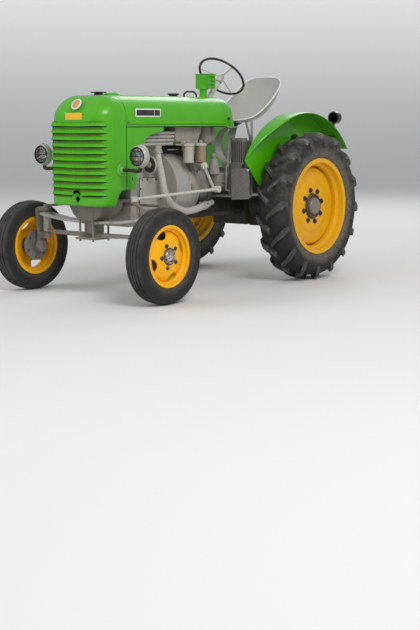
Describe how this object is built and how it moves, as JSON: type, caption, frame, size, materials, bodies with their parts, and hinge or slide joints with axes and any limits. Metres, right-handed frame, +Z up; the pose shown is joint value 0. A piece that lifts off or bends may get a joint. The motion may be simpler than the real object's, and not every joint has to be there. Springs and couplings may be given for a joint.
{
  "type": "vintage farm tractor",
  "caption": "Small 1950s farm tractor with a long round-nosed bonnet, open engine, lugged rear tyres, fenders, bucket seat and working steering.",
  "frame": {"origin": "on the ground, under the middle of the tractor's length and width", "axes": "+Z up, the tractor faces -Y, its left side is +X"},
  "size_m": [1.608, 2.7508, 1.7788],
  "materials": {
    "tyre": "worn",
    "wheel_paint": "satin",
    "green_paint": "gloss",
    "gray_paint": "worn satin",
    "dark_casting": "dusty",
    "seat_paint": "satin",
    "lamp_paint": "satin",
    "lens": "clear",
    "black": "gloss"
  },
  "bodies": {
    "chassis": {"front_support": "gray_paint", "leaf_spring": "gray_paint", "upper_arms": "gray_paint", "engine_block": "gray_paint", "exhaust_manifold": "gray_paint", "exhaust_pipe": "gray_paint", "bell_housing": "gray_paint", "steering_gear": "gray_paint", "gearbox": "dark_casting", "rear_axle": "dark_casting", "fuel_system": "gray_paint", "air_cleaner": "gray_paint", "radiator": "dark_casting", "bonnet": "green_paint", "nose": "green_paint", "tank_dome": "green_paint", "side_panels": "green_paint", "bonnet_fittings": "black", "intake_stack": "green_paint", "dash_hoop": "gray_paint", "lamp_bar": "green_paint", "headlamps": "lamp_paint", "lamp_lenses": "lens", "seat_pan": "seat_paint", "seat_bracket": "gray_paint", "fenders": "green_paint", "rear_lamps": "black", "footboards": "gray_paint", "battery_box": "dark_casting", "levers": "gray_paint", "hitch": "dark_casting"},
    "wheel_fl": {"tyre_front_left": "tyre", "wheel_front_left": "wheel_paint"},
    "wheel_fr": {"tyre_front_right": "tyre", "wheel_front_right": "wheel_paint"},
    "wheel_rl": {"tyre_rear_left": "tyre", "wheel_rear_left": "wheel_paint"},
    "wheel_rr": {"tyre_rear_right": "tyre", "wheel_rear_right": "wheel_paint"},
    "knuckle_l": {"knuckle_left": "gray_paint"},
    "knuckle_r": {"knuckle_right": "gray_paint"},
    "tie_rod": {"tie_rod": "gray_paint"},
    "drop_arm": {"drop_arm": "gray_paint"},
    "drag_link": {"drag_link": "gray_paint"},
    "steering_wheel": {"steering_wheel": "black"}
  },
  "joints": [
    {"name": "steer_left", "type": "hinge", "parent": "chassis", "child": "knuckle_l", "pos_m": [0.49, -1.032, 0.525], "axis": [0, 0, 1], "range_deg": [-35, 35]},
    {"name": "steer_right", "type": "hinge", "parent": "chassis", "child": "knuckle_r", "pos_m": [-0.49, -1.032, 0.525], "axis": [0, 0, 1], "range_deg": [-35.5, 35.5]},
    {"name": "spin_front_left", "type": "hinge", "parent": "knuckle_l", "child": "wheel_fl", "pos_m": [0.6685, -1.032, 0.34], "axis": [1, 0, 0], "continuous": true},
    {"name": "spin_front_right", "type": "hinge", "parent": "knuckle_r", "child": "wheel_fr", "pos_m": [-0.6685, -1.032, 0.34], "axis": [1, 0, 0], "continuous": true},
    {"name": "spin_rear_left", "type": "hinge", "parent": "chassis", "child": "wheel_rl", "pos_m": [0.667, 0.778, 0.594], "axis": [1, 0, 0], "continuous": true},
    {"name": "spin_rear_right", "type": "hinge", "parent": "chassis", "child": "wheel_rr", "pos_m": [-0.667, 0.778, 0.594], "axis": [1, 0, 0], "continuous": true},
    {"name": "tie_rod_pivot", "type": "hinge", "parent": "knuckle_l", "child": "tie_rod", "pos_m": [0.49, -0.852, 0.672], "axis": [0, 0, 1], "range_deg": [-35.5, 35.5]},
    {"name": "drop_arm_pivot", "type": "hinge", "parent": "chassis", "child": "drop_arm", "pos_m": [0.364, -0.198, 0.936], "axis": [1, 0, 0], "range_deg": [-17.3, 17.3]},
    {"name": "drag_link_pivot", "type": "hinge", "parent": "drop_arm", "child": "drag_link", "pos_m": [0.4, -0.082, 0.758], "axis": [1, 0, 0], "range_deg": [-15.3, 15.3]},
    {"name": "steering_wheel_turn", "type": "hinge", "parent": "chassis", "child": "steering_wheel", "pos_m": [0, 0.483, 1.632], "axis": [0, 0.6947, 0.7193], "range_deg": [-490.5, 490.5]}
  ],
  "couplings": [
    {"joint": "steer_right", "follows": "steer_left", "ratio": 1},
    {"joint": "tie_rod_pivot", "follows": "steer_left", "ratio": -1},
    {"joint": "drop_arm_pivot", "follows": "steer_left", "ratio": -0.481},
    {"joint": "drag_link_pivot", "follows": "steer_left", "ratio": 0.422},
    {"joint": "steering_wheel_turn", "follows": "steer_left", "ratio": 14}
  ]
}
